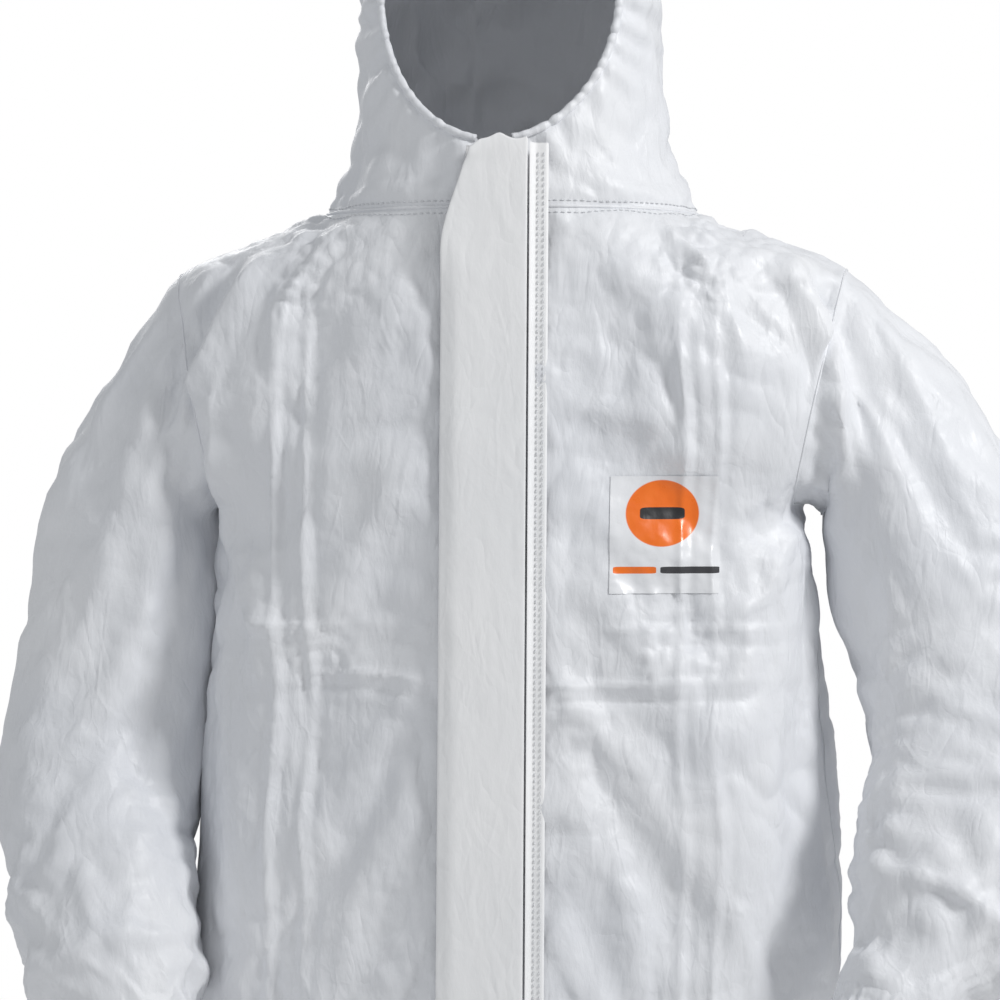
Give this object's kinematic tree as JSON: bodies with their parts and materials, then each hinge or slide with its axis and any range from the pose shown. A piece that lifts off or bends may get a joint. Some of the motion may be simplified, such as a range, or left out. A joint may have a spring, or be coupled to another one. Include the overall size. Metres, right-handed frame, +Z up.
{
  "type": "chemical protective suit",
  "caption": "Hooded one-piece protective coverall in white laminate film, with a zip under a storm flap and elasticated face, wrists and ankles.",
  "frame": {"origin": "middle of the neck seam, on the body's centre line, where the wearer's shoulders carry the suit", "axes": "+Z up, the wearer faces -Y, and the wearer's left is +X"},
  "size_m": [0.885, 0.3632, 1.7649],
  "materials": {
    "film": "satin",
    "flap_film": "satin",
    "elastic": "matte",
    "zip_tape": "matte",
    "zip_plastic": "gloss",
    "adhesive_tape": "gloss",
    "patch": "gloss",
    "label": "satin"
  },
  "bodies": {
    "root": {"front_left_panel": "film", "front_right_panel": "film", "back_left_panel": "film", "back_right_panel": "film", "crotch_gusset": "film", "waist_elastic": "elastic", "flap_facing": "flap_film", "zip_tape_left": "zip_tape", "zip_tape_right": "zip_tape", "zip_chain_left": "zip_plastic", "zip_chain_right": "zip_plastic", "zip_top_stops": "zip_plastic", "zip_bottom_stop": "zip_plastic", "chest_patch": "patch", "size_label": "label"},
    "hood": {"hood_left_panel": "film", "hood_right_panel": "film", "hood_centre_panel": "film", "face_hem": "film", "face_elastic": "elastic"},
    "flap": {"storm_flap": "flap_film", "flap_tape": "adhesive_tape"},
    "slider": {"zip_slider": "zip_plastic"},
    "pull_tab": {"zip_pull_tab": "zip_plastic"},
    "arm_left": {"sleeve_left_front_panel": "film", "sleeve_left_back_panel": "film", "wrist_hem_left": "film", "wrist_elastic_left": "elastic"},
    "arm_right": {"sleeve_right_front_panel": "film", "sleeve_right_back_panel": "film", "wrist_hem_right": "film", "wrist_elastic_right": "elastic"},
    "leg_left": {"leg_left_front_panel": "film", "leg_left_back_panel": "film", "ankle_hem_left": "film", "ankle_elastic_left": "elastic"},
    "leg_right": {"leg_right_front_panel": "film", "leg_right_back_panel": "film", "ankle_hem_right": "film", "ankle_elastic_right": "elastic"}
  },
  "joints": [
    {"name": "zip_slide", "type": "slide", "parent": "root", "child": "slider", "axis": [0, -0.0523, -0.9986], "range_m": [0, 0.6]},
    {"name": "pull_tab_swing", "type": "hinge", "parent": "slider", "child": "pull_tab", "pos_m": [0, -0.12378, 0.03527], "axis": [0, 0.9986, -0.0523], "range_deg": [-50, 50]},
    {"name": "flap_open", "type": "hinge", "parent": "root", "child": "flap", "pos_m": [0.027, -0.14361, -0.2591], "axis": [0, 0.0523, 0.9986], "range_deg": [0, 150]},
    {"name": "hood_tilt", "type": "hinge", "parent": "root", "child": "hood", "pos_m": [0, 0.14, 0], "axis": [-1, 0, 0], "range_deg": [0, 50]},
    {"name": "arm_left_lift", "type": "hinge", "parent": "root", "child": "arm_left", "pos_m": [0.268, 0, -0.038], "axis": [0, -1, 0], "range_deg": [0, 60]},
    {"name": "arm_right_lift", "type": "hinge", "parent": "root", "child": "arm_right", "pos_m": [-0.268, 0, -0.038], "axis": [0, 1, 0], "range_deg": [0, 60]},
    {"name": "leg_left_swing", "type": "hinge", "parent": "root", "child": "leg_left", "pos_m": [0.124, 0, -0.69], "axis": [-1, 0, 0], "range_deg": [-15, 14]},
    {"name": "leg_right_swing", "type": "hinge", "parent": "root", "child": "leg_right", "pos_m": [-0.124, 0, -0.69], "axis": [-1, 0, 0], "range_deg": [-15, 14]}
  ]
}
